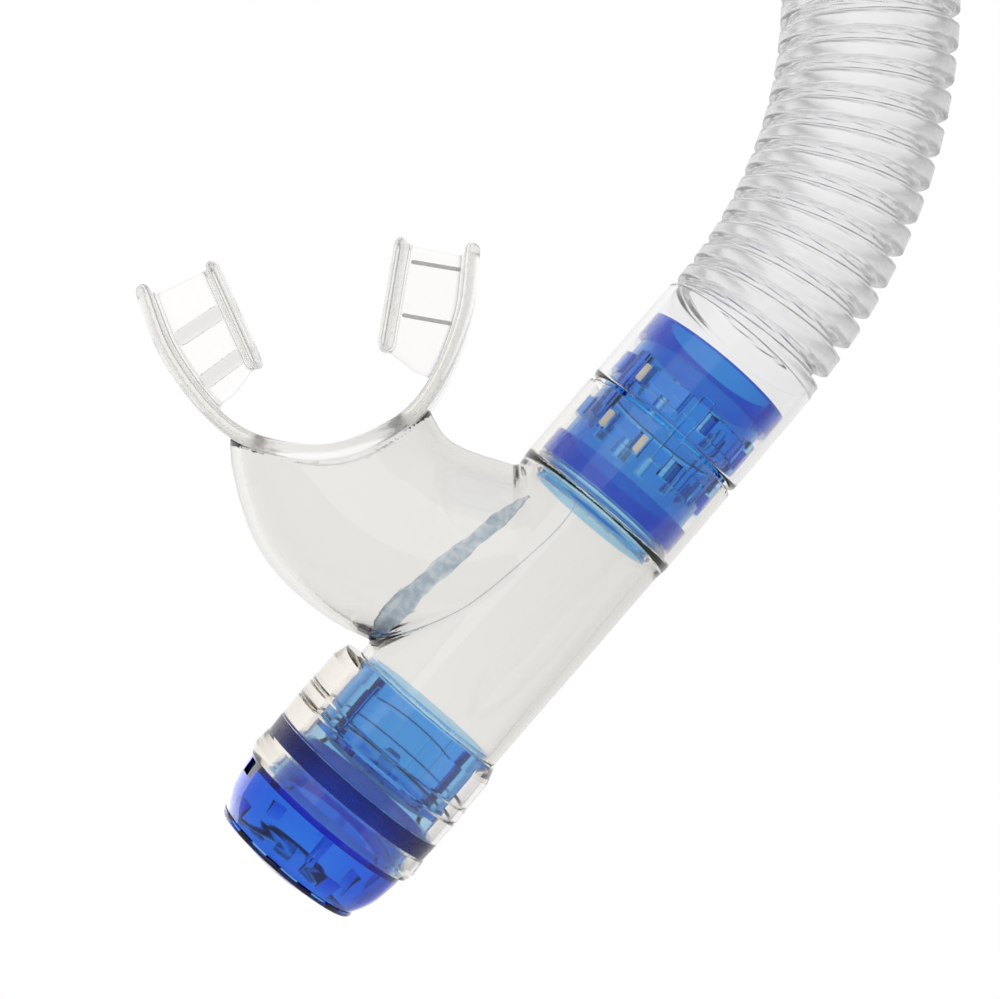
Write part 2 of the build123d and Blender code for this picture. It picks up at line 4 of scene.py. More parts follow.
import bpy
import bmesh
import numpy as np
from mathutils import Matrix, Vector


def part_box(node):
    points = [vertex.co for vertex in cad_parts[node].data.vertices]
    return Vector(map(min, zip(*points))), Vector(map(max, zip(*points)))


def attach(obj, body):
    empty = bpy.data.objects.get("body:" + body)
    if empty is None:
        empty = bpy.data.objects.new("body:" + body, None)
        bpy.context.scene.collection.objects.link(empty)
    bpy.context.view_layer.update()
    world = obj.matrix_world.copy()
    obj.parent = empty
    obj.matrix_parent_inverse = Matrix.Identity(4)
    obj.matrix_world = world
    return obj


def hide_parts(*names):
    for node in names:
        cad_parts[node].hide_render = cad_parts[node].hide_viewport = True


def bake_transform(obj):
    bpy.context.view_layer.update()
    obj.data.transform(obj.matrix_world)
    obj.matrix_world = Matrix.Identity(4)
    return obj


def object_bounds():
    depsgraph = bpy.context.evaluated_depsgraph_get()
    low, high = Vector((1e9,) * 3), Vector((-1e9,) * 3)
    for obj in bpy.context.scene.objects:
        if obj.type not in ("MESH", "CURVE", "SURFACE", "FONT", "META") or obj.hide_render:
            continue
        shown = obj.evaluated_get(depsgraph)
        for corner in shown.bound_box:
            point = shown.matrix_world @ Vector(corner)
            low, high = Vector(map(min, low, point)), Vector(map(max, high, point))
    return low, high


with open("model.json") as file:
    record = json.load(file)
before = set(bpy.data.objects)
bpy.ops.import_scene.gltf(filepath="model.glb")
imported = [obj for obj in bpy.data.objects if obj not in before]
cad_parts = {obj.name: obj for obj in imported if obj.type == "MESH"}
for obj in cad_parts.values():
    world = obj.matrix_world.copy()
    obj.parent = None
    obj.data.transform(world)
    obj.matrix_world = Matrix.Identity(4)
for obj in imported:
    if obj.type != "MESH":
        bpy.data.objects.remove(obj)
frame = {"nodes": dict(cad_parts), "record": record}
cad_low, cad_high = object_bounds()

MM = 0.001
JOINTS = {joint["name"]: joint for joint in frame["record"]["behaviour"]["joints"]}


# ---------------------------------------------------------------- places in the frame
joint_point = Vector(JOINTS["mouthpiece_swivel"]["pos_m"])
lower_up = Vector(JOINTS["mouthpiece_swivel"]["axis"]).normalized()
lower_out = Vector((lower_up.z, 0, -lower_up.x))
hose_corner = Vector(JOINTS["hose_flex"]["pos_m"])
lean = math.atan2(lower_up.x, lower_up.z)

cuff_length = 23.2 * MM
cuff_radius = 16.15 * MM
cuff_foot = 0.4 * MM           # gap between the cuff's open end and the joint
bend_radius = ((hose_corner - joint_point).length - cuff_length) / math.tan(lean / 2)
bend_top = hose_corner + Vector((0, 0, bend_radius * math.tan(lean / 2)))
bend_centre = bend_top - Vector((bend_radius, 0, 0))
bend_length = bend_radius * lean
straight_length = 22 * MM


# ---------------------------------------------------------------- mesh helpers
def finish_mesh(name, mesh_edit):
    """Turn a bmesh into a linked object with outward normals."""
    bmesh.ops.recalc_face_normals(mesh_edit, faces=mesh_edit.faces)
    mesh = bpy.data.meshes.new(name)
    mesh_edit.to_mesh(mesh)
    mesh_edit.free()
    mesh.shade_smooth()
    obj = bpy.data.objects.new(name, mesh)
    bpy.context.scene.collection.objects.link(obj)
    return obj


def tube_of_rings(mesh_edit, rings, closed=True):
    """Join rings of points, each with the same count, into a strip; closed joins last to first."""
    made = [[mesh_edit.verts.new(p) for p in ring] for ring in rings]
    count = len(made[0])
    pairs = list(zip(made, made[1:]))
    if closed:
        pairs.append((made[-1], made[0]))
    for ring_a, ring_b in pairs:
        for i in range(count):
            j = (i + 1) % count
            mesh_edit.faces.new((ring_a[i], ring_a[j], ring_b[j], ring_b[i]))


def smoothstep(low, high, value):
    """0 at low to 1 at high, with a soft start and end."""
    t = min(max((value - low) / (high - low), 0), 1)
    return t * t * (3 - 2 * t)


# ---------------------------------------------------------------- materials
def new_material(name):
    """Material with its node tree and its main shader."""
    material = bpy.data.materials.new(name)
    material.use_nodes = True
    tree = material.node_tree
    shader = tree.nodes["Principled BSDF"]
    return material, tree, shader


def add(tree, kind):
    return tree.nodes.new(kind)


def speckle(tree, scale, low, high):
    """Noise in object space: spread between two values, and as it is."""
    place = add(tree, "ShaderNodeTexCoord")
    noise = add(tree, "ShaderNodeTexNoise")
    noise.inputs["Scale"].default_value = scale
    noise.inputs["Detail"].default_value = 4
    spread = add(tree, "ShaderNodeMapRange")
    spread.inputs["To Min"].default_value = low
    spread.inputs["To Max"].default_value = high
    tree.links.new(place.outputs["Object"], noise.inputs["Vector"])
    tree.links.new(noise.outputs["Fac"], spread.inputs["Value"])
    return spread.outputs["Result"], noise.outputs["Fac"]


def clear_material(name, ior, rough, absorb, density, tint=(1, 1, 1), ripple=0.0, ripple_scale=60):
    """Clear or coloured see-through plastic with faint flow marks and uneven gloss."""
    material, tree, shader = new_material(name)
    shader.inputs["Base Color"].default_value = (*tint, 1)
    shader.inputs["Transmission Weight"].default_value = 1
    shader.inputs["IOR"].default_value = ior
    gloss, _ = speckle(tree, ripple_scale * 4, *rough)
    tree.links.new(gloss, shader.inputs["Roughness"])
    if ripple:
        place = add(tree, "ShaderNodeTexCoord")
        noise = add(tree, "ShaderNodeTexNoise")
        noise.inputs["Scale"].default_value = ripple_scale
        noise.inputs["Detail"].default_value = 2
        bump = add(tree, "ShaderNodeBump")
        bump.inputs["Strength"].default_value = ripple
        bump.inputs["Distance"].default_value = 0.3 * MM
        tree.links.new(place.outputs["Object"], noise.inputs["Vector"])
        tree.links.new(noise.outputs["Fac"], bump.inputs["Height"])
        tree.links.new(bump.outputs["Normal"], shader.inputs["Normal"])
    fog = add(tree, "ShaderNodeVolumeAbsorption")
    fog.inputs["Color"].default_value = (*absorb, 1)
    fog.inputs["Density"].default_value = density
    output = tree.nodes["Material Output"]
    tree.links.new(fog.outputs["Volume"], output.inputs["Volume"])
    return material


def solid_material(name, color, rough, metallic=0.0, spread=0.06, scale=400, bump_height=0.05,
                   painted_glow=0.0):
    """Opaque plastic, rubber, foam or steel with mottled colour and grain; painted_glow gives a
    painted glow, light that no lamp casts.
    """
    material, tree, shader = new_material(name)
    shader.inputs["Metallic"].default_value = metallic
    gloss, waves = speckle(tree, scale, max(rough - spread, 0.02), rough + spread)
    tree.links.new(gloss, shader.inputs["Roughness"])
    ramp = add(tree, "ShaderNodeValToRGB")
    ramp.color_ramp.elements[0].color = (*[c * 0.86 for c in color], 1)
    ramp.color_ramp.elements[1].color = (*[min(c * 1.08, 1) for c in color], 1)
    tree.links.new(waves, ramp.inputs["Fac"])
    tree.links.new(ramp.outputs["Color"], shader.inputs["Base Color"])
    shader.inputs["Emission Color"].default_value = (*color, 1)
    shader.inputs["Emission Strength"].default_value = painted_glow
    bump = add(tree, "ShaderNodeBump")
    bump.inputs["Strength"].default_value = 0.25
    bump.inputs["Distance"].default_value = bump_height * MM
    tree.links.new(waves, bump.inputs["Height"])
    tree.links.new(bump.outputs["Normal"], shader.inputs["Normal"])
    return material


# Each clear material: refraction, roughness range, then the colour and density of its depth.
clear_shell = clear_material("clear_shell", 1.49, (0.01, 0.05), (0.70, 0.685, 0.64), 190, ripple=0.08)
clear_collar = clear_material("clear_collar", 1.49, (0.02, 0.06), (0.62, 0.55, 0.42), 60, ripple=0.08)
clear_silicone = clear_material(
    "clear_silicone", 1.42, (0.20, 0.28), (0.86, 0.84, 0.79), 38, tint=(0.965, 0.962, 0.955),
)
# Grey, denser silicone for the grip ridges: painted shade standing in for the dark lines their
# refraction makes.
ridge_silicone_painted_shade = clear_material(
    "ridge_silicone_painted_shade", 1.42, (0.15, 0.3), (0.5, 0.5, 0.5), 900, tint=(0.6, 0.6, 0.6),
)
# Light-grey silicone for the grip pads: the pads are shaped, and their grey is painted shade for soft
# bands on that web.
pad_silicone_painted_shade = clear_material(
    "pad_silicone_painted_shade", 1.42, (0.05, 0.1), (0.5, 0.5, 0.5), 380, tint=(0.99, 0.99, 0.99),
)
clear_hose = clear_material(
    "clear_hose", 1.45, (0.16, 0.23), (0.66, 0.66, 0.655), 75, tint=(0.985, 0.985, 0.985),
)
clear_cuff = clear_material(
    "clear_cuff", 1.45, (0.02, 0.05), (0.66, 0.66, 0.66), 130, tint=(0.985, 0.985, 0.985),
)
blue_clear = clear_material("blue_plastic", 1.49, (0.02, 0.06), (0.03, 0.62, 0.94), 480, ripple=0.08)
blue_ring = clear_material("blue_ring", 1.49, (0.02, 0.06), (0.02, 0.62, 0.93), 1500, ripple=0.08)
blue_core = clear_material("blue_core", 1.49, (0.02, 0.06), (0.02, 0.66, 0.96), 640, ripple=0.08)
deep_clear = clear_material("deep_blue", 1.49, (0.02, 0.06), (0.02, 0.54, 0.92), 1300, ripple=0.08)
frosted_seam = clear_material(
    "frosted_seam", 1.14, (0.45, 0.7), (0.45, 0.55, 0.68), 180, tint=(0.8, 0.85, 0.9),
)
# Darker strip along the crease: painted shade in the fold of the wall.
crease_edge = clear_material(
    "crease_edge", 1.25, (0.2, 0.4), (0.42, 0.46, 0.58), 900, tint=(0.8, 0.82, 0.86),
)
# Cream latch faces with a painted glow: emission that stands in for light seen in the slits.
painted_light_latch_cream = solid_material("painted_light_latch_cream", (0.80, 0.73, 0.62), 0.4, painted_glow=0.42)
blue_rubber = clear_material("blue_rubber", 1.45, (0.2, 0.35), (0.02, 0.16, 0.70), 2600)
seal_rubber = clear_material("seal_rubber", 1.42, (0.1, 0.25), (0.6, 0.72, 0.86), 160)
float_foam = solid_material("float_foam", (0.82, 0.82, 0.8), 0.75, scale=900, bump_height=0.1)
steel = solid_material("steel", (0.32, 0.33, 0.36), 0.28, metallic=1.0)

NODE_MATERIALS = {
    "clear_shell": clear_shell, "clear_silicone": clear_silicone, "clear_hose": clear_hose,
    "blue_plastic": blue_clear, "deep_blue": deep_clear, "blue_rubber": blue_rubber,
    "seal_rubber": seal_rubber, "float_foam": float_foam, "steel": steel,
}
for subpart in frame["record"]["subparts"]:
    node = frame["nodes"][subpart["node"]]
    node.data.materials.clear()
    node.data.materials.append(NODE_MATERIALS[subpart["material_slot"]])
for node_name, better in (
    ("purge_collar", clear_collar), ("swivel_core", blue_core), ("hose_ring", blue_ring),
    ("neck_ring", blue_ring),
):
    frame["nodes"][node_name].data.materials[0] = better


def mottle(material, low_color, high_color, scale):
    """Uneven colour for a frosted material."""
    tree = material.node_tree
    _, waves = speckle(tree, scale, 0, 1)
    ramp = add(tree, "ShaderNodeValToRGB")
    ramp.color_ramp.elements[0].position, ramp.color_ramp.elements[1].position = 0.38, 0.62
    ramp.color_ramp.elements[0].color = (*low_color, 1)
    ramp.color_ramp.elements[1].color = (*high_color, 1)
    tree.links.new(waves, ramp.inputs["Fac"])
    tree.links.new(ramp.outputs["Color"], tree.nodes["Principled BSDF"].inputs["Base Color"])


mottle(frosted_seam, (0.55, 0.64, 0.72), (0.92, 0.95, 0.98), 900)


# ---------------------------------------------------------------- flexible hose
rib_pitch = 5.53 * MM
rib_phase = 2.2 * MM           # first rib's crest on the side that faces the mouthpiece
rib_crest = 15.9 * MM
groove_share = 0.38            # part of the pitch that the groove takes up
hose_wall = 1.15 * MM
pocket_radius = 14.78 * MM
around = 120                   # points in each ring of the hose
edge_round = 0.9 * MM          # rounding of the cuffs' open ends
ramp_length = 1.8 * MM         # over which the ribs rise out of a cuff
ramp_end = -0.1 * MM


def hose_point(station):
    """Centre and outward direction at a length above the lower cuff's top."""
    if station <= 0:
        return joint_point + lower_up * (cuff_length + station), lower_out
    if station < bend_length:
        angle = lean - station / bend_radius
        out = Vector((math.cos(angle), 0, -math.sin(angle)))
        return bend_centre + out * bend_radius, out
    return bend_top + Vector((0, 0, station - bend_length)), Vector((1, 0, 0))


hose_end = bend_length + straight_length


def crest(station, turn):
    """Height of the helical rib, 0 in the groove to 1 on the crest; turn is 0 on the right."""
    phase = (station - rib_phase) / rib_pitch - (math.pi - turn) / (2 * math.pi)
    part = abs(2 * (phase - math.floor(phase)) - 1)      # 1 on the crest line, 0 in the groove
    return smoothstep(0.4 * groove_share, 1.2 * groove_share, part)


def hose_radii(station, turn):
    """Outer and inner radius of the hose's wall."""
    depth = (2.05 + 0.2 * math.cos(turn)) * MM
    ribbed = smoothstep(ramp_end - ramp_length, ramp_end, station)
    ribbed *= smoothstep(ramp_end - ramp_length, ramp_end, hose_end - station)
    rib = crest(station, turn)
    outer = (1 - ribbed) * cuff_radius + ribbed * (rib_crest - depth * (1 - rib))
    inner = (1 - ribbed) * pocket_radius + ribbed * (outer - hose_wall)
    foot = min(station + cuff_length, hose_end + cuff_length - station) - cuff_foot
    if foot < edge_round:
        edge = 1 - foot / edge_round
        outer -= 0.8 * MM * (1 - math.sqrt(max(1 - edge * edge, 0)))
    return outer, inner


def hose_stations():
    """Rings close together at the cuffs' rounded ends and along the ribs."""
    low = -cuff_length + cuff_foot
    edge = [0, 0.08, 0.2, 0.38, 0.6, 0.9, 1.6]
    steps = [low + e * MM for e in edge]
    steps += [low + 6 * MM, low + 12 * MM, low + 18 * MM]
    count = int((hose_end + 4 * MM) / (0.36 * MM))
    inside = [-2 * MM + i * (hose_end + 4 * MM) / count for i in range(count + 1)]
    mirrored = [hose_end - s for s in reversed(steps)]
    return steps + inside + mirrored


def make_hose():
    """Tube whose wall follows the ribs, outside and inside alike."""
    hose = bmesh.new()
    outer_rings, inner_rings = [], []
    for station in hose_stations():
        centre, out = hose_point(station)
        outer_ring, inner_ring = [], []
        for i in range(around):
            turn = 2 * math.pi * i / around
            ray = out * math.cos(turn) + Vector((0, -1, 0)) * math.sin(turn)
            outer, inner = hose_radii(station, turn)
            outer_ring.append(centre + ray * outer)
            inner_ring.append(centre + ray * inner)
        outer_rings.append(outer_ring)
        inner_rings.append(inner_ring)
    tube_of_rings(hose, outer_rings + inner_rings[::-1])
    return finish_mesh("ribbed_hose", hose)


ribbed_hose = make_hose()
ribbed_hose.data.materials.append(clear_hose)
ribbed_hose.data.materials.append(clear_cuff)
for face in ribbed_hose.data.polygons:     # the lower cuff has a clearer plastic
    if (face.center - joint_point).dot(lower_up) < cuff_length - 1.5 * MM:
        face.material_index = 1
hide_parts("flex_hose")
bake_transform(ribbed_hose)


# ---------------------------------------------------------------- surfaces from distance fields
def soft_min(a, b, blend):
    """Union of two distance fields with a fillet about as wide as blend."""
    near = np.maximum(blend - np.abs(a - b), 0) / blend
    return np.minimum(a, b) - near * near * blend / 4


def soft_max(a, b, blend):
    """Intersection of two distance fields with a fillet."""
    return -soft_min(-a, -b, blend)


def rounded_slab(flat, height, rounding):
    """Distance to an extrusion, from its flat and height distances, with rounded edges."""
    flat = flat + rounding
    height = height + rounding
    outside = np.sqrt(np.maximum(flat, 0) ** 2 + np.maximum(height, 0) ** 2)
    return outside + np.minimum(np.maximum(flat, height), 0) - rounding


def smooth_curve(points, steps):
    """Points along a Catmull-Rom curve through the given points."""
    points = np.array(points, dtype=float)
    padded = np.vstack([2 * points[0] - points[1], points, 2 * points[-1] - points[-2]])
    out = []
    for i in range(len(points) - 1):
        p0, p1, p2, p3 = padded[i:i + 4]
        for t in np.linspace(0, 1, steps, endpoint=False):
            out.append(
                0.5 * (2 * p1 + (p2 - p0) * t + (2 * p0 - 5 * p1 + 4 * p2 - p3) * t * t
                       + (3 * p1 - p0 - 3 * p2 + p3) * t ** 3)
            )
    out.append(points[-1])
    return np.array(out)


def crossings(values, axis):
    """Sign changes along one axis of the grid and how far along its edge each one lies."""
    first = np.take(values, range(values.shape[axis] - 1), axis)
    second = np.take(values, range(1, values.shape[axis]), axis)
    crossed = (first < 0) != (second < 0)
    share = np.where(crossed, first / np.where(crossed, first - second, 1), 0)
    return first, crossed, share


def surface_net(values):
    """Vertices in grid units and quads of the zero surface of a sampled field."""
    shape = np.array(values.shape)
    total = np.zeros((*(shape - 1), 3))
    count = np.zeros(shape - 1)
    found = []
    for axis in range(3):
        first, crossed, share = crossings(values, axis)
        found.append((first, crossed))
        others = [n for n in range(3) if n != axis]
        for step_a in (0, 1):
            for step_b in (0, 1):
                pick = [slice(None)] * 3
                pick[others[0]] = slice(step_a, shape[others[0]] - 1 + step_a)
                pick[others[1]] = slice(step_b, shape[others[1]] - 1 + step_b)
                hit = crossed[tuple(pick)]
                total[..., axis] += share[tuple(pick)]
                total[..., others[0]] += hit * step_a
                total[..., others[1]] += hit * step_b
                count += hit
    cells = np.argwhere(count > 0)
    number = -np.ones(shape - 1, dtype=int)
    number[tuple(cells.T)] = range(len(cells))
    corners = total[tuple(cells.T)] / count[tuple(cells.T)][:, None] + cells
    quads = []
    for axis, (first, crossed) in enumerate(found):
        others = [n for n in range(3) if n != axis]
        edges = np.argwhere(crossed)
        for other in others:
            edges = edges[(edges[:, other] > 0) & (edges[:, other] < shape[other] - 1)]
        around_edge = []
        for step_a, step_b in ((1, 1), (0, 1), (0, 0), (1, 0)):
            cell = edges.copy()
            cell[:, others[0]] -= step_a
            cell[:, others[1]] -= step_b
            around_edge.append(number[tuple(cell.T)])
        quad = np.stack(around_edge, 1)
        leaving = first[tuple(edges.T)] < 0
        turned = leaving != (axis == 1)
        quad[~turned] = quad[~turned][:, ::-1]
        quads.append(quad)
    return corners, np.vstack(quads)


def gradient(field, points, step=0.02):
    """Slope of a field at points, by central differences."""
    slopes = []
    for axis in range(3):
        move = np.zeros(3)
        move[axis] = step
        slopes.append(field(*(points + move).T) - field(*(points - move).T))
    return np.stack(slopes, 1) / (2 * step)


def relaxed(points, quads, rounds):
    """Points drawn towards the average of their neighbours, which rounds off sharp edges."""
    edges = np.concatenate([quads[:, [n, (n + 1) % 4]] for n in range(4)])
    edges = np.concatenate([edges, edges[:, ::-1]])
    count = np.bincount(edges[:, 0], minlength=len(points))[:, None]
    for _ in range(rounds):
        total = np.stack([
            np.bincount(edges[:, 0], points[edges[:, 1], n], len(points)) for n in range(3)
        ], 1)
        points = (points + total / count) / 2
    return points


def mesh_from_field(name, field, node, cell, rounds=0):
    """Smooth mesh of a field given in millimetres, over the box of the CAD node it replaces."""
    low, high = [np.array(corner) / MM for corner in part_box(node)]
    low, high = low - 3 * cell, high + 3 * cell
    axes = [np.arange(low[n], high[n] + cell, cell) for n in range(3)]
    values = field(axes[0][:, None, None], axes[1][None, :, None], axes[2][None, None, :])
    corners, quads = surface_net(values)
    points = low + corners * cell
    for _ in range(2):                     # Newton steps onto the true surface
        slope = gradient(field, points)
        size = np.maximum((slope ** 2).sum(1), 0.3)
        points -= slope * (field(*points.T) / size)[:, None]
    normals = gradient(field, points)
    normals /= np.maximum(np.linalg.norm(normals, axis=1), 0.001)[:, None]
    if rounds:
        points = relaxed(points, quads, rounds)
    mesh = bpy.data.meshes.new(name)
    mesh.from_pydata((points * MM).tolist(), [], quads.tolist())
    mesh.shade_smooth()
    if not rounds:
        mesh.normals_split_custom_set_from_vertices(normals.tolist())
    obj = bpy.data.objects.new(name, mesh)
    bpy.context.scene.collection.objects.link(obj)
    return obj


joint_mm = np.array(joint_point) / MM


def lower_place(x, z):
    """Stations up the lower assembly's axis and distances outwards from it, in mm."""
    dx, dz = x - joint_mm[0], z - joint_mm[2]
    return dx * lower_up.x + dz * lower_up.z, dx * lower_out.x + dz * lower_out.z


# ---------------------------------------------------------------- mouthpiece
mouth_place = joint_mm + np.array((-58.0, 0, -4.6))
mouth_tilt = math.radians(7.5)
flange_half = 1.2
flange_centre = [               # across and along, in mm, from tip to tip
    (-29.05, 33.2), (-26.05, 21.95), (-19.75, 10.8), (-12.25, 4.15), (0, 0.9),
    (12.25, 4.15), (19.75, 10.8), (26.05, 21.95), (29.05, 33.2),
]
flange_curve = smooth_curve(flange_centre, 10)


def mouth_coordinates(x, z):
    """Distances across the mouthpiece and along it towards the teeth, in mm."""
    dx, dz = x - mouth_place[0], z - mouth_place[2]
    across = dx * math.cos(mouth_tilt) + dz * math.sin(mouth_tilt)
    along = -dx * math.sin(mouth_tilt) + dz * math.cos(mouth_tilt)
    return across, along


def flange_offset(across, along):
    """Signed distance from the flange's centre curve, positive towards the teeth."""
    best = np.full(np.broadcast(across, along).shape, 1e6)
    side = np.ones_like(best)
    for start, end in zip(flange_curve, flange_curve[1:]):
        leg = end - start
        length = float(np.hypot(*leg))
        da, db = across - start[0], along - start[1]
        share = np.clip((da * leg[0] + db * leg[1]) / length ** 2, 0, 1)
        away = np.hypot(da - share * leg[0], db - share * leg[1])
        turn = np.sign(leg[0] * db - leg[1] * da)
        side = np.where(away < best, turn, side)
        best = np.minimum(best, away)
    return best * side


def segment_distance(across, along, start, end):
    """Distance to a straight segment."""
    leg = (end[0] - start[0], end[1] - start[1])
    da, db = across - start[0], along - start[1]
    share = np.clip((da * leg[0] + db * leg[1]) / (leg[0] ** 2 + leg[1] ** 2), 0, 1)
    return np.hypot(da - share * leg[0], db - share * leg[1])


def polygon_distance(across, along, corners):
    """Signed distance to a convex polygon whose corners run anticlockwise."""
    inside = np.full(np.broadcast(across, along).shape, -1e6)
    near = np.full(inside.shape, 1e6)
    for start, end in zip(corners, corners[1:] + corners[:1]):
        leg = (end[0] - start[0], end[1] - start[1])
        length = math.hypot(*leg)
        out = ((across - start[0]) * leg[1] - (along - start[1]) * leg[0]) / length
        inside = np.maximum(inside, out)
        near = np.minimum(near, segment_distance(across, along, start, end))
    return np.where(inside > 0, near, inside)


# Shapes on one side of the mouthpiece, as (across, along) in mm; ridges are on the right limb
# and pads on the left one.
web_corners = [(11.2, 18.8), (15.8, 14.0), (20.2, 11.4), (26.2, 22.4), (28.8, 32.6), (17.0, 36.7)]
tab_centre = (14.1, 27.65)
tab_lean = math.radians(16.8)
tab_reach = 8.7
ridges = [((18.4, 33.0), (26.4, 30.6)), ((15.6, 23.8), (23.6, 21.3))]
pads = [((-17.2, 28.6), (-24.0, 25.2)), ((-14.6, 20.4), (-20.6, 17.0))]


def mouthpiece_field(x, y, z):
    """Lip flange with its passage, joined to the webs and the bite tabs."""
    across, along = mouth_coordinates(x, z)
    depth = np.abs(y)
    offset = flange_offset(across, along)
    lip_height = 13.0 * np.sqrt(np.maximum(1 - (across / 33.5) ** 2, 0.02))
    draft = 0.3 * np.minimum(depth / 13, 1) ** 2
    thick = flange_half - draft + (0.2 + draft) * np.clip((depth - lip_height + 3.4) / 2.2, 0, 1)
    lip = rounded_slab(np.abs(offset) - thick, depth - lip_height, 1.15)
    passage = (np.sqrt((across / 13.6) ** 2 + (y / 8.6) ** 2) - 1) * 8.6
    passage = np.maximum(passage, np.abs(offset) - 4)
    lip = soft_max(lip, -passage, 1.2)
    side = np.abs(across)
    web = rounded_slab(polygon_distance(side, along, web_corners), depth - 1.1, 0.5)
    lean_x, lean_z = math.sin(tab_lean) * tab_reach, math.cos(tab_lean) * tab_reach
    spine = segment_distance(
        side, along, (tab_centre[0] - lean_x, tab_centre[1] - lean_z),
        (tab_centre[0] + lean_x, tab_centre[1] + lean_z),
    )
    tab = rounded_slab(spine - 1.3 + 0.45 * np.minimum(depth / 7.5, 1) ** 2, depth - 7.5, 0.8)
    return soft_min(soft_min(lip, web, 1.2), tab, 0.9)


def ridge_field(x, y, z):
    """Two grip ridges on the front of one web."""
    across, along = mouth_coordinates(x, z)
    lines = [segment_distance(across, along, *ends) for ends in ridges]
    return np.hypot(np.minimum(*lines), y + 1.5) - 0.36


def pad_field(x, y, z):
    """Low, wide grip pads on the back of the other web."""
    across, along = mouth_coordinates(x, z)
    lines = [segment_distance(across, along, *ends) for ends in pads]
    return (np.hypot(np.minimum(*lines) / 1.5, (y - 1.5) / 0.38) - 1) * 0.38


mouth_guard = mesh_from_field("mouth_guard", mouthpiece_field, "mouthpiece", 0.34, rounds=4)
mouth_guard.data.materials.append(clear_silicone)
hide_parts("mouthpiece")
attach(mouth_guard, "chamber")

grip_ridges = mesh_from_field("grip_ridges", ridge_field, "mouthpiece", 0.3)
grip_ridges.data.materials.append(ridge_silicone_painted_shade)
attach(grip_ridges, "chamber")

grip_pads = mesh_from_field("grip_pads", pad_field, "mouthpiece", 0.3)
grip_pads.data.materials.append(pad_silicone_painted_shade)
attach(grip_pads, "chamber")


# ---------------------------------------------------------------- chamber with its branch
neck_outer, tube_outer, tube_end_outer = 16.15, 15.8, 15.4
tube_bore, neck_bore = 13.7, 14.68
neck_step, neck_shoulder, tube_low, tube_high = -19.0, -17.8, -64.0, -0.4
branch_wall = 1.9
branch_round = 17.0            # width of the rounded margin inside the branch's outline
branch_outline = smooth_curve([
    # from the joint (x, z), down the mouthpiece's side, through the tube and back up
    (-76.2, 9.0), (-75.7, -7.0), (-69.3, -23.0), (-54.0, -35.2), (-34.0, -39.5), (-13.0, -30.0),
    (-11.0, -9.5), (-27.0, -5.1), (-36.6, -1.6), (-40.6, 3.4), (-46.0, 15.5), (-73.0, 15.5),
    (-76.2, 9.0),
], 10)


def outline_depth(x, z):
    """Distance inside the branch's outline, negative outside it."""
    dx, dz = x - joint_mm[0], z - joint_mm[2]
    near = np.full(np.broadcast(dx, dz).shape, 1e6)
    winding = np.zeros(near.shape)
    for start, end in zip(branch_outline, branch_outline[1:]):
        near = np.minimum(near, segment_distance(dx, dz, start, end))
        spans = (start[1] <= dz) != (end[1] <= dz)
        rise = end[1] - start[1] if end[1] != start[1] else 1e-9
        left_of = dx < start[0] + (dz - start[1]) * (end[0] - start[0]) / rise
        winding = winding + (spans & left_of)
    return np.where(winding % 2 == 1, near, -near)


def branch_field(depth, half_height, margin, y):
    """Pillow: elliptical along the margin of the outline, flat over the middle."""
    share = soft_max(1 - depth / margin, np.zeros_like(depth), 0.12)
    return (np.sqrt(share ** 2 + (y / half_height) ** 2) - 1) * half_height


def chamber_fields(x, y, z):
    """Outside of the tube with its branch, and the hollow inside them."""
    station, out = lower_place(x, z)
    radius = np.sqrt(out ** 2 + y ** 2)
    taper = np.clip((station - tube_low) / (neck_step - tube_low), 0, 1)
    body = tube_end_outer + (tube_outer - tube_end_outer) * taper
    body = body + (neck_outer - tube_outer) * np.clip((station - neck_step) / 2.4 + 0.5, 0, 1)
    tube = rounded_slab(
        radius - body, np.maximum(tube_low - station, station - tube_high), 0.5
    )
    depth = outline_depth(x, z)
    _, along = mouth_coordinates(x, z)
    half_height = 15.8 - 3.8 * np.clip((along + 28) / 28, 0, 1)
    branch = branch_field(depth, half_height, branch_round, y)
    outer = soft_min(tube, branch, 0.7)
    hollow = radius - tube_bore
    pocket = soft_max(radius - neck_bore, neck_shoulder - station, 1.0)
    inside_branch = branch_field(
        depth - branch_wall, half_height - branch_wall, branch_round - branch_wall, y
    )
    inner = soft_min(soft_min(hollow, inside_branch, 0.8), pocket, 1.0)
    return outer, inner


def chamber_field(x, y, z):
    """Shell of the chamber, cut off at the mouthpiece's flange."""
    outer, inner = chamber_fields(x, y, z)
    wall = soft_max(outer, -inner, 0.35)
    mouth_side = flange_offset(*mouth_coordinates(x, z)) + flange_half + 0.06
    return soft_max(wall, mouth_side, 0.3)


clear_chamber = mesh_from_field("clear_chamber", chamber_field, "chamber_body", 0.5)
clear_chamber.data.materials.append(clear_shell)
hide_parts("chamber_body")
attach(clear_chamber, "chamber")


# Paths on the chamber's wall, as (station, distance outwards) in mm
seam_path = smooth_curve(
    [(-24.0, -10.2), (-28, -11.4), (-34, -12.6), (-43.6, -14.3), (-52, -15.4), (-58.6, -16.1)], 12
)
crease_path = smooth_curve(
    [(-18.5, -4.2), (-22, -3.5), (-28.8, -3.7), (-42.4, -6.0), (-50, -8.6), (-56.5, -12.0)], 12
)


def inner_wall_depth(x, z):
    """How far from the middle plane the chamber's inside wall is at a place, in mm."""
    low_y, high_y = np.zeros_like(x), np.full_like(x, 16.0)
    for _ in range(24):
        middle = (low_y + high_y) / 2
        inside = chamber_fields(x, middle, z)[1] < 0
        low_y, high_y = np.where(inside, middle, low_y), np.where(inside, high_y, middle)
    return low_y


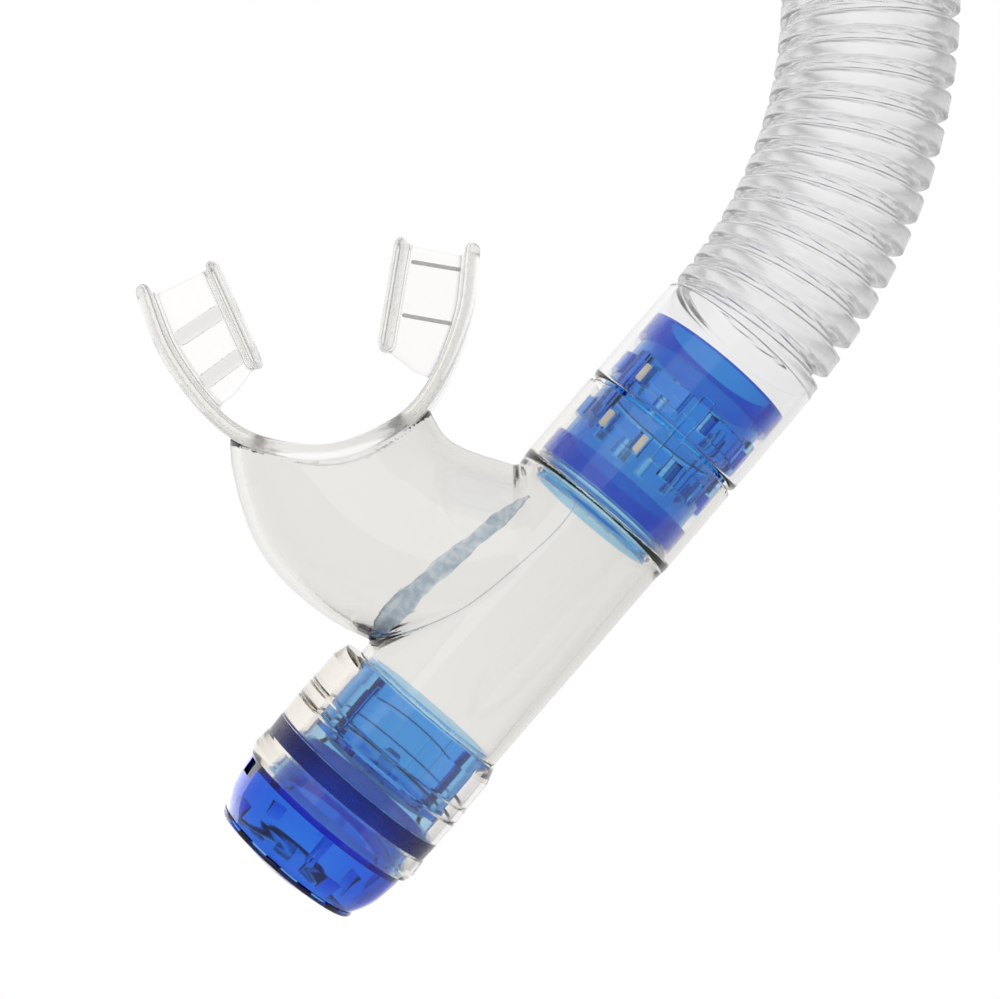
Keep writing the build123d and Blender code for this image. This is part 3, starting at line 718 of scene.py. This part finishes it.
def make_seam(name, side, path, half_widths, material):
    """Strip on the inside of the chamber's wall: joint cement, or painted shade along the line of a
    crease.
    """
    strip = bmesh.new()
    columns = []
    count = len(path)
    for number, (station, out) in enumerate(path):
        grow = number / (count - 1)
        half = half_widths[0] + (half_widths[1] - half_widths[0]) * grow
        half *= 1 + 0.12 * math.sin(number * 0.42) + 0.06 * math.sin(number * 1.1)
        half *= 0.25 + 0.75 * smoothstep(0, 12, number) * smoothstep(0, 4, count - 1 - number)
        spread = np.linspace(-1, 1, 7)
        offsets = half * spread + out
        thick = 0.06 + 0.4 * min(half, 1) * (1 - spread ** 2)
        x = joint_mm[0] + station * lower_up.x + offsets * lower_out.x
        z = joint_mm[2] + station * lower_up.z + offsets * lower_out.z
        wall = np.maximum(inner_wall_depth(x, z), 1.0)
        ring = [Vector((x[i], side * (wall[i] - 0.12), z[i])) * MM for i in range(7)]
        ring += [
            Vector((x[i], side * (wall[i] - 0.12 - thick[i]), z[i])) * MM for i in range(6, -1, -1)
        ]
        columns.append(ring)
    tube_of_rings(strip, columns, closed=False)
    strip.verts.ensure_lookup_table()
    strip.faces.new(strip.verts[:14])
    strip.faces.new(strip.verts[-14:])
    obj = finish_mesh(name, strip)
    obj.data.materials.append(material)
    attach(obj, "chamber")


make_seam("seam_front", -1, seam_path, (0.9, 2.0), frosted_seam)
make_seam("seam_back", 1, seam_path, (0.9, 2.0), frosted_seam)
# The crease strip is painted shade along the fold line.
make_seam("front_crease_shade", -1, crease_path, (0.1, 0.18), crease_edge)


# ---------------------------------------------------------------- wave ring under the coupler
wire_section = [
    (0.22 * MM * math.cos(a), 0.16 * MM * math.sin(a))
    for a in (math.radians(30 * n) for n in range(12))
]
ring_radius = 12.65 * MM
ring_gap = 16                  # degrees of gap between the wire's ends
ring_steps = 180


def make_wave_ring():
    """Flat spring wire that waves up and down round the core's groove, with a gap."""
    ring = bmesh.new()
    low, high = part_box("swivel_clip")
    station = ((low + high) / 2 - joint_point).dot(lower_up)
    rows = []
    for number in range(ring_steps + 1):
        angle = math.radians(ring_gap / 2 + (360 - ring_gap) * number / ring_steps)
        out = lower_out * math.cos(angle) + Vector((0, 1, 0)) * math.sin(angle)
        middle = joint_point + lower_up * (station + 0.22 * MM * math.sin(6 * angle))
        rows.append([
            middle + out * (ring_radius + wide) + lower_up * tall
            for wide, tall in wire_section
        ])
    tube_of_rings(ring, rows, closed=False)
    ring.verts.ensure_lookup_table()
    ring.faces.new(ring.verts[:len(wire_section)])
    ring.faces.new(ring.verts[-len(wire_section):])
    return finish_mesh("wave_ring", ring)


wave_ring = make_wave_ring()
wave_ring.data.materials.append(steel)
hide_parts("swivel_clip")
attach(wave_ring, "coupler")


# ---------------------------------------------------------------- latch faces in the coupler, glowing with painted light
latch_angles = [(5.1, 42.8), (-5.1, 41.2), (-5.1, 9.2)]    # station, degrees from the front
latch_radius = 13.75 * MM
latch_width, latch_height, latch_depth = 1.1 * MM, 3.3 * MM, 1.0 * MM


def make_latches():
    """Cream faces of the snap latches, seen in the slits beside the tabs, front and back; they glow
    with painted light.
    """
    latches = bmesh.new()
    for station, degrees in latch_angles:
        for side in (-1, 1):
            angle = math.radians(degrees)
            out = Vector((-math.sin(angle) * lower_out.x, side * math.cos(angle),
                          -math.sin(angle) * lower_out.z))
            across = lower_up.cross(out)
            centre = joint_point + lower_up * station * MM + out * latch_radius
            made = bmesh.ops.create_cube(latches, size=1)["verts"]
            for vert in made:
                place = vert.co.copy()
                vert.co = (centre + across * place.x * latch_width
                           + lower_up * place.y * latch_height + out * place.z * latch_depth)
    bmesh.ops.bevel(latches, geom=latches.edges[:], offset=0.16 * MM, segments=3, affect="EDGES")
    obj = finish_mesh("painted_light_latch_faces", latches)
    obj.data.materials.append(painted_light_latch_cream)
    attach(obj, "coupler")


make_latches()


# ---------------------------------------------------------------- stage, light and camera
def stage_disc(name, centre, radius, material):
    """Round floor that isn't part of the object."""
    disc = bmesh.new()
    bmesh.ops.create_circle(disc, cap_ends=True, segments=96, radius=radius)
    bmesh.ops.translate(disc, verts=disc.verts, vec=centre)
    obj = finish_mesh(name, disc)
    obj.data.materials.append(material)


floor_drop, floor_radius = 0.28, 0.5
floor_material, _, floor_shader = new_material("pale_floor")
floor_shader.inputs["Base Color"].default_value = (0.92, 0.92, 0.92, 1)
floor_shader.inputs["Roughness"].default_value = 0.8
stage_disc("floor", Vector((0, 0, cad_low.z - floor_drop)), floor_radius, floor_material)


front_light, side_light = 0.42, 0.55
left_light, right_light = 1.25, 0.85


def studio_world():
    """Plain white to camera rays. To all others, brightest from behind and from the left."""
    world = bpy.data.worlds.new("studio")
    bpy.context.scene.world = world
    world.use_nodes = True
    tree = world.node_tree
    tree.nodes.clear()
    place = add(tree, "ShaderNodeTexCoord")
    split = add(tree, "ShaderNodeSeparateXYZ")
    tree.links.new(place.outputs["Generated"], split.inputs["Vector"])
    reach = add(tree, "ShaderNodeMapRange")
    reach.inputs["From Min"].default_value = -1
    tree.links.new(split.outputs["Y"], reach.inputs["Value"])
    ramp = add(tree, "ShaderNodeValToRGB")
    ramp.color_ramp.interpolation = "EASE"
    stops = [(0.0, front_light), (0.30, front_light), (0.52, side_light), (0.80, 1.0)]
    ramp.color_ramp.elements[1].position = 0.9
    for position, level in stops[1:]:
        ramp.color_ramp.elements.new(position).color = (level, level, level, 1)
    ramp.color_ramp.elements[0].color = (front_light, front_light, front_light, 1)
    ramp.color_ramp.elements[-1].color = (1, 1, 1, 1)
    tree.links.new(reach.outputs["Result"], ramp.inputs["Fac"])
    leaning = add(tree, "ShaderNodeMapRange")
    leaning.inputs["From Min"].default_value = -1
    leaning.inputs["To Min"].default_value = left_light
    leaning.inputs["To Max"].default_value = right_light
    tree.links.new(split.outputs["X"], leaning.inputs["Value"])
    studio = add(tree, "ShaderNodeBackground")
    tree.links.new(ramp.outputs["Color"], studio.inputs["Color"])
    tree.links.new(leaning.outputs["Result"], studio.inputs["Strength"])
    plain = add(tree, "ShaderNodeBackground")
    plain.inputs["Color"].default_value = (1, 1, 1, 1)
    path = add(tree, "ShaderNodeLightPath")
    mix = add(tree, "ShaderNodeMixShader")
    tree.links.new(path.outputs["Is Camera Ray"], mix.inputs["Fac"])
    tree.links.new(studio.outputs["Background"], mix.inputs[1])
    tree.links.new(plain.outputs["Background"], mix.inputs[2])
    output = add(tree, "ShaderNodeOutputWorld")
    tree.links.new(mix.outputs["Shader"], output.inputs["Surface"])


studio_world()


def softbox(name, place, aim, size, power):
    """Area light, seen only in reflections and by its light."""
    data = bpy.data.lights.new(name, "AREA")
    data.shape = "RECTANGLE"
    data.size, data.size_y = size
    data.energy = power
    light = bpy.data.objects.new(name, data)
    light.location = place
    light.rotation_mode = "QUATERNION"
    light.rotation_quaternion = (Vector(aim) - Vector(place)).to_track_quat("-Z", "Y")
    light.visible_camera = False
    light.visible_transmission = False
    bpy.context.scene.collection.objects.link(light)
    return light


look_at = joint_point + Vector((-28.6, 0, -11.5)) * MM
rim_way = Vector((-0.62, 0.70, 0.20))
rim = softbox("rim", look_at + rim_way * 0.6, look_at, (0.55, 0.5), 1.6)
glossy_pieces = bpy.data.collections.new("rim_lit")
for cap_name in ("purge_cap", "purge_end_plate"):
    glossy_pieces.objects.link(frame["nodes"][cap_name])
rim.light_linking.receiver_collection = glossy_pieces
softbox("front", look_at + Vector((-0.15, -0.9, 0.5)), look_at, (0.9, 0.6), 1.5)

camera_distance = 363 * MM
camera_data = bpy.data.cameras.new("camera")
camera_data.sensor_width = 36
camera_data.lens = 73.8
camera_data.clip_start = 0.01
camera = bpy.data.objects.new("camera", camera_data)
camera.location = look_at + Vector((-11 * MM, -camera_distance, -12.9 * MM))
camera.rotation_mode = "QUATERNION"
camera.rotation_quaternion = (look_at - camera.location).to_track_quat("-Z", "Y")
bpy.context.scene.collection.objects.link(camera)
bpy.context.scene.camera = camera

scene = bpy.context.scene
scene.view_settings.view_transform = "Standard"
scene.cycles.max_bounces = 40
scene.cycles.transmission_bounces = 36
scene.cycles.transparent_max_bounces = 24
scene.cycles.glossy_bounces = 8
scene.cycles.sample_clamp_indirect = 4
